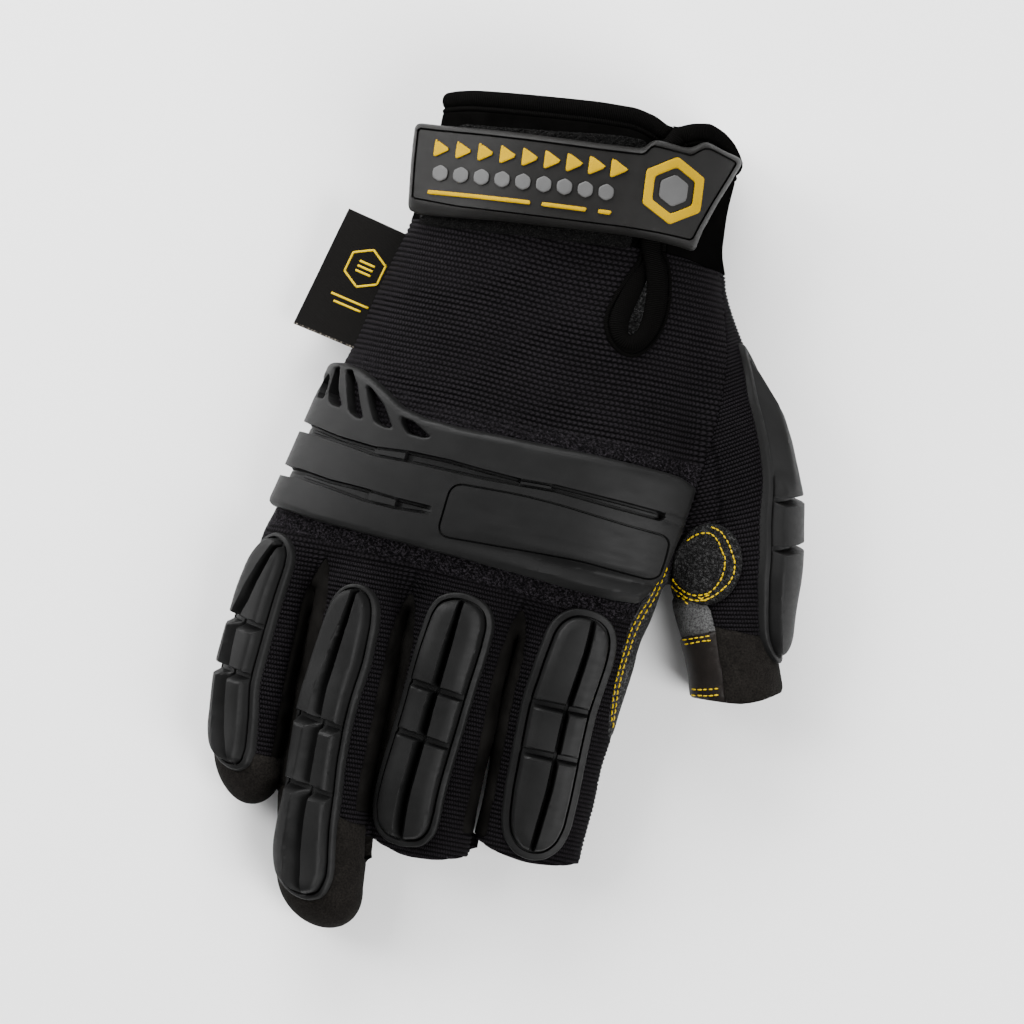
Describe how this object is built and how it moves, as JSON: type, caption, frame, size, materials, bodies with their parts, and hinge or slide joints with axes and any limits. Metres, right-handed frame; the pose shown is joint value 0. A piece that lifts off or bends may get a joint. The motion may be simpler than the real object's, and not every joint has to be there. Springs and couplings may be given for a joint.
{
  "type": "heavy-duty rigger glove",
  "caption": "Right-hand work glove with a moulded knuckle plate, finger guards, open thumb, index and middle stalls, and a closure tab on its cuff.",
  "frame": {"origin": "middle of the glove's footprint on the surface that its palm lies on", "axes": "+Z out of the back of the hand, +Y towards the wrist, +X towards the thumb"},
  "size_m": [0.1622, 0.2477, 0.0519],
  "materials": {
    "knit": "ribbed heavy knit, matt, near black",
    "stretch": "smooth stretch cloth, matt, black",
    "neoprene": "neoprene with a fine jersey face, matt, black",
    "leather": "grained synthetic leather, matt, charcoal",
    "suede": "brushed suede, matt, brown black",
    "grey_suede": "brushed suede, matt, grey",
    "rubber": "moulded soft rubber, satin, dark grey",
    "pile": "brushed loop pile, matt, black",
    "label": "woven label, matt, black with a yellow motif",
    "thread": "twisted sewing thread, yellow"
  },
  "bodies": {
    "root": {"cuff": "neoprene", "cuff_binding": "neoprene", "keyhole_binding": "neoprene", "loop_patch": "pile", "closure_tab": "rubber", "palm_panel": "leather", "ring_fingertip": "suede", "little_fingertip": "suede", "fourchette_little_ring": "stretch", "fourchette_ring_middle": "stretch", "fourchette_middle_index": "stretch", "back_panel": "knit", "thumb_panel": "knit", "thumb_tip": "suede", "thumb_palm": "leather", "thumb_grey_patch": "grey_suede", "thumb_hem_patch": "leather", "crotch_patch": "leather", "knuckle_guard": "rubber", "little_guard": "rubber", "ring_guard": "rubber", "middle_guard": "rubber", "index_guard": "rubber", "thumb_guard": "rubber", "side_label": "label"}
  },
  "joints": []
}
